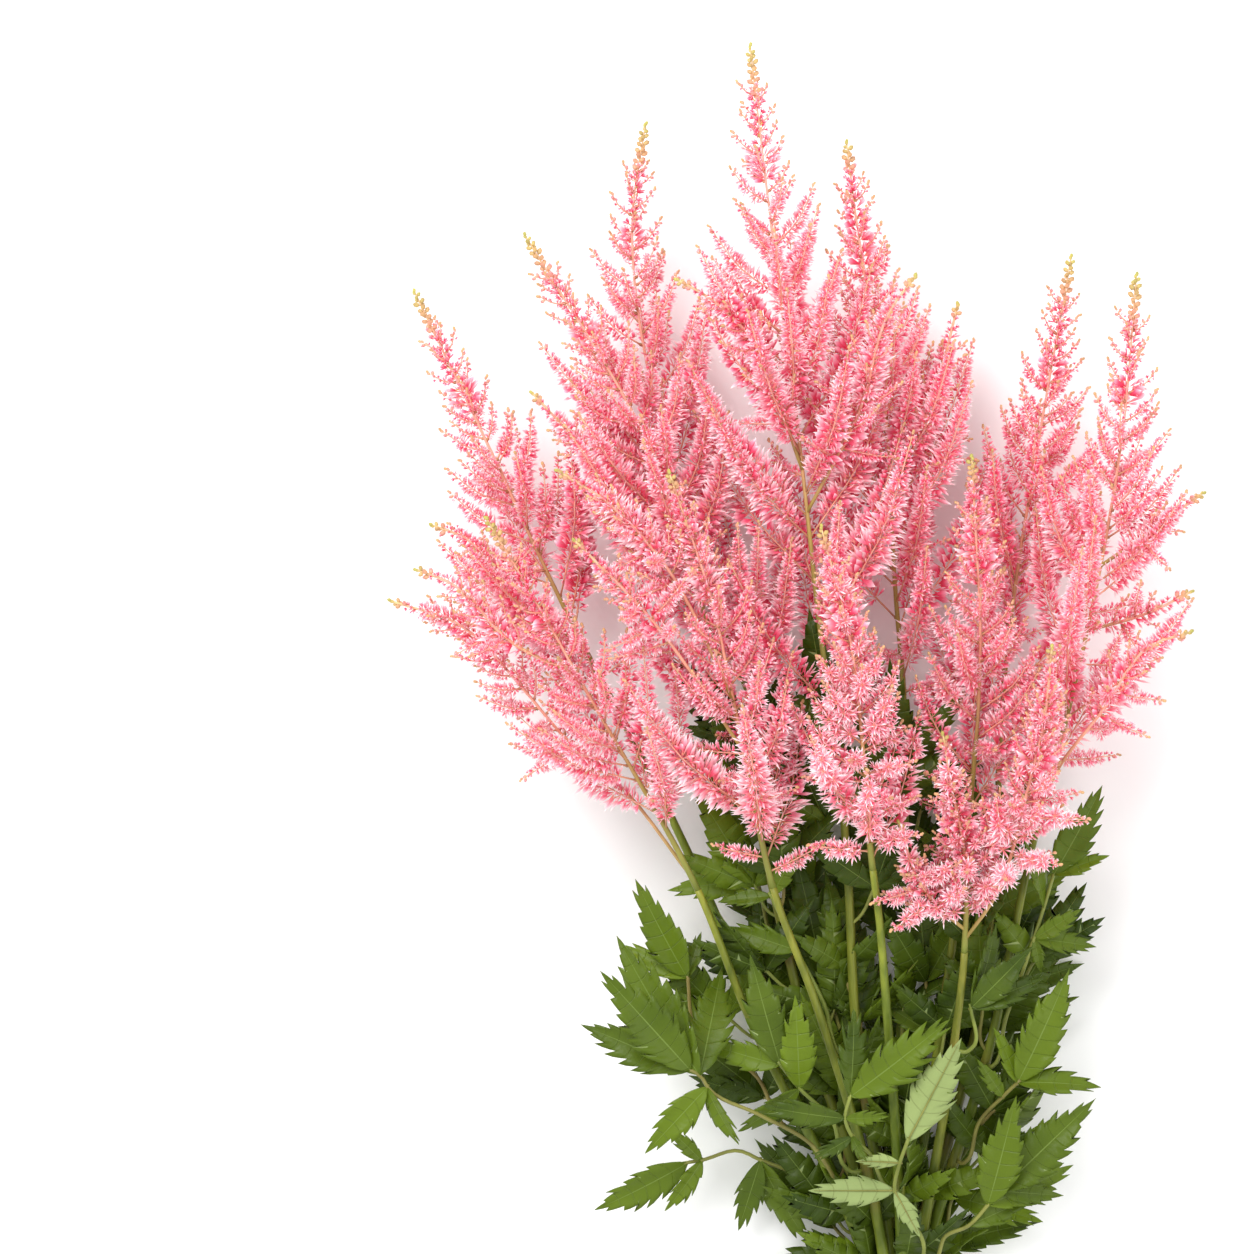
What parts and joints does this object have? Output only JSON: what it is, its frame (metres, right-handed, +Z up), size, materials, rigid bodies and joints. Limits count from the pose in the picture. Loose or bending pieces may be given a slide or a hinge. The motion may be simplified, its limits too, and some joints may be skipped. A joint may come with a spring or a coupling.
{
  "type": "tied bunch of cut astilbe stems",
  "caption": "Bunch of cut astilbe: pink feathery flower plumes and green compound leaves on straight stems, gathered by a plain band and lying flat.",
  "frame": {"origin": "middle of the flat underside of the tie band, on the surface that the bunch lies on", "axes": "+Y along the bunch from the cut ends to the flower tips, +Z up from the surface, towards the side that the picture shows"},
  "size_m": [0.339, 0.612, 0.13],
  "materials": {
    "stem_green": "smooth green plant stem, slightly glossy",
    "petal_pink": "soft matte petals, pale pink with deeper pink inside",
    "leaf_green": "satin leaf, dark green above and pale green below",
    "tie_band": "matte twisted band"
  },
  "bodies": {
    "root": {"leaf_back": "leaf_green", "leaf_back_left": "leaf_green", "leaf_back_low": "leaf_green", "leaf_back_right": "leaf_green", "leaf_centre": "leaf_green", "leaf_high_left": "leaf_green", "leaf_high_right": "leaf_green", "leaf_inner_left": "leaf_green", "leaf_inner_right": "leaf_green", "leaf_left_bottom": "leaf_green", "leaf_left_high": "leaf_green", "leaf_left_low": "leaf_green", "leaf_left_pair": "leaf_green", "leaf_low_back": "leaf_green", "leaf_low_centre": "leaf_green", "leaf_low_right": "leaf_green", "leaf_mid_left": "leaf_green", "leaf_pale": "leaf_green", "leaf_right_bottom": "leaf_green", "leaf_right_high": "leaf_green", "leaf_right_inner": "leaf_green", "leaf_right_mid": "leaf_green", "plume_back_left": "petal_pink", "plume_back_right": "petal_pink", "plume_centre_back": "petal_pink", "plume_centre_tall": "petal_pink", "plume_front": "petal_pink", "plume_front_left": "petal_pink", "plume_left_back": "petal_pink", "plume_left_front": "petal_pink", "plume_left_mid": "petal_pink", "plume_low_front": "petal_pink", "plume_right_mid": "petal_pink", "plume_right_side": "petal_pink", "stem_back_left": "stem_green", "stem_back_right": "stem_green", "stem_centre_back": "stem_green", "stem_centre_tall": "stem_green", "stem_front": "stem_green", "stem_front_left": "stem_green", "stem_left_back": "stem_green", "stem_left_front": "stem_green", "stem_left_mid": "stem_green", "stem_low_front": "stem_green", "stem_right_mid": "stem_green", "stem_right_side": "stem_green", "tie": "tie_band"}
  },
  "joints": []
}
